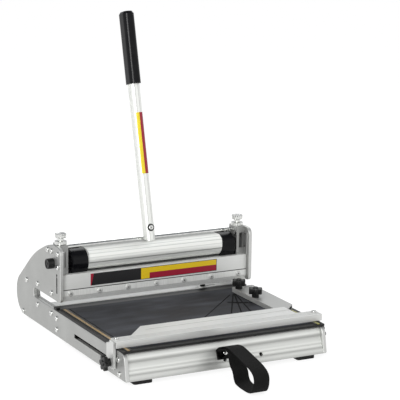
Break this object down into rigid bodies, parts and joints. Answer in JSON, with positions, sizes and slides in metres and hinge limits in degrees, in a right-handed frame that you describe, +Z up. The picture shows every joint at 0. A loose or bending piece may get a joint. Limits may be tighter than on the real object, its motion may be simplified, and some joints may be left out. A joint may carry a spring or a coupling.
{
  "type": "laminate cutter",
  "caption": "Bench guillotine for laminate planks: long lever turns a cam roller that presses a full-width blade onto a table with sliding fence and angle guide.",
  "frame": {"origin": "middle of the floor rectangle that the tool covers, carry strap included, at the undersides of the feet", "axes": "+X to the right along the blade, +Y backwards from the strap and fence to the lever's side, +Z up"},
  "size_m": [0.3922, 0.555, 0.5192],
  "materials": {
    "plate": "satin, blasted",
    "extrusion": "drawn, clear anodised",
    "bright_steel": "polished",
    "spring_steel": "drawn wire",
    "blade_steel": "ground",
    "gloss_black": "gloss",
    "knob_black": "moulded satin",
    "bearing_plastic": "matt nylon",
    "board": "matt",
    "mat": "matt",
    "rubber": "matt",
    "ruler_gold": "printed foil",
    "webbing": "woven"
  },
  "bodies": {
    "frame": {"side_plate_left": "plate", "side_plate_right": "plate", "throat_doubler_left": "plate", "throat_doubler_right": "plate", "side_screws_left": "bright_steel", "side_screws_right": "bright_steel", "front_extrusion": "extrusion", "anvil_beam": "extrusion", "rear_tie": "extrusion", "stop_rod": "bright_steel", "rubber_feet": "rubber", "table_board": "board", "cutting_mat": "mat", "anvil_strip": "bearing_plastic", "ruler_strip_left": "ruler_gold", "ruler_strip_right": "ruler_gold", "guide_channel_left": "extrusion", "guide_channel_right": "extrusion", "bearing_block_left": "bearing_plastic", "bearing_block_right": "bearing_plastic", "return_spring_left": "spring_steel", "return_spring_right": "spring_steel", "axle_cap_left": "knob_black", "axle_cap_right": "knob_black", "rear_stop_ledge": "extrusion", "carry_strap": "webbing", "strap_screw": "bright_steel"},
    "lever": {"cam_roller": "extrusion", "roller_axle": "bright_steel", "drum_left": "gloss_black", "drum_right": "gloss_black", "handle_tube": "extrusion", "handle_screw": "bright_steel", "handle_grip": "gloss_black", "grip_cap": "gloss_black"},
    "beam": {"blade_beam": "extrusion", "blade": "blade_steel", "blade_screws": "bright_steel", "guide_pins": "bright_steel", "wear_strip": "bearing_plastic", "guide_shoe_left": "bearing_plastic", "guide_shoe_right": "bearing_plastic"},
    "adjuster_left": {"adjuster_left": "bright_steel"},
    "adjuster_right": {"adjuster_right": "bright_steel"},
    "lock_nut_left": {"lock_nut_left": "bright_steel"},
    "lock_nut_right": {"lock_nut_right": "bright_steel"},
    "fence": {"fence_bar": "extrusion", "fence_bracket_left": "extrusion", "fence_bracket_right": "extrusion", "fence_screws": "bright_steel", "fence_nuts": "bright_steel"},
    "fence_knob_left": {"fence_knob_left": "knob_black"},
    "fence_knob_right": {"fence_knob_right": "knob_black"},
    "guide": {"angle_guide": "extrusion", "guide_nuts": "bright_steel"},
    "guide_pivot_knob": {"guide_pivot_knob": "knob_black"},
    "guide_clamp_knob": {"guide_clamp_knob": "knob_black"},
    "rear_stop": {"rear_stop_arm": "extrusion"},
    "rear_stop_knob": {"rear_stop_knob": "knob_black"}
  },
  "joints": [
    {"name": "handle_swing", "type": "hinge", "parent": "frame", "child": "lever", "pos_m": [0, 0.119, 0.1271], "axis": [1, 0, 0], "range_deg": [0, 100]},
    {"name": "beam_slide", "type": "slide", "parent": "frame", "child": "beam", "axis": [0, 0, -1], "range_m": [0, 0.0108], "stiffness_N_per_m": 1500, "springref_m": -0.008, "deforming": ["return_spring_left", "return_spring_right"]},
    {"name": "fence_slide", "type": "slide", "parent": "frame", "child": "fence", "axis": [0, 1, 0], "range_m": [0, 0.033]},
    {"name": "guide_swing", "type": "hinge", "parent": "frame", "child": "guide", "pos_m": [0.136, 0.0605, 0.06], "axis": [0, 0, 1], "range_deg": [-45, 0]},
    {"name": "rear_stop_slide", "type": "slide", "parent": "frame", "child": "rear_stop", "axis": [-1, 0, 0], "range_m": [0, 0.02]},
    {"name": "adjuster_left_turn", "type": "hinge", "parent": "frame", "child": "adjuster_left", "pos_m": [-0.1625, 0.119, 0.165], "axis": [0, 0, 1], "continuous": true},
    {"name": "adjuster_right_turn", "type": "hinge", "parent": "frame", "child": "adjuster_right", "pos_m": [0.1625, 0.119, 0.165], "axis": [0, 0, 1], "continuous": true},
    {"name": "lock_nut_left_turn", "type": "hinge", "parent": "frame", "child": "lock_nut_left", "pos_m": [-0.1625, 0.119, 0.16], "axis": [0, 0, 1], "continuous": true},
    {"name": "lock_nut_right_turn", "type": "hinge", "parent": "frame", "child": "lock_nut_right", "pos_m": [0.1625, 0.119, 0.16], "axis": [0, 0, 1], "continuous": true},
    {"name": "fence_knob_left_turn", "type": "hinge", "parent": "fence", "child": "fence_knob_left", "pos_m": [-0.188, -0.114, 0.0285], "axis": [1, 0, 0], "continuous": true},
    {"name": "fence_knob_right_turn", "type": "hinge", "parent": "fence", "child": "fence_knob_right", "pos_m": [0.188, -0.114, 0.0285], "axis": [1, 0, 0], "continuous": true},
    {"name": "guide_pivot_knob_turn", "type": "hinge", "parent": "guide", "child": "guide_pivot_knob", "pos_m": [0.136, 0.0605, 0.07], "axis": [0, 0, 1], "continuous": true},
    {"name": "guide_clamp_knob_turn", "type": "hinge", "parent": "guide", "child": "guide_clamp_knob", "pos_m": [0.136, 0.0035, 0.07], "axis": [0, 0, 1], "continuous": true},
    {"name": "rear_stop_knob_turn", "type": "hinge", "parent": "frame", "child": "rear_stop_knob", "pos_m": [0.101, 0.1245, 0.06], "axis": [0, 0, 1], "continuous": true}
  ],
  "couplings": [
    {"joint": "beam_slide", "follows": "handle_swing", "m_per_rad": 0.0061307}
  ]
}
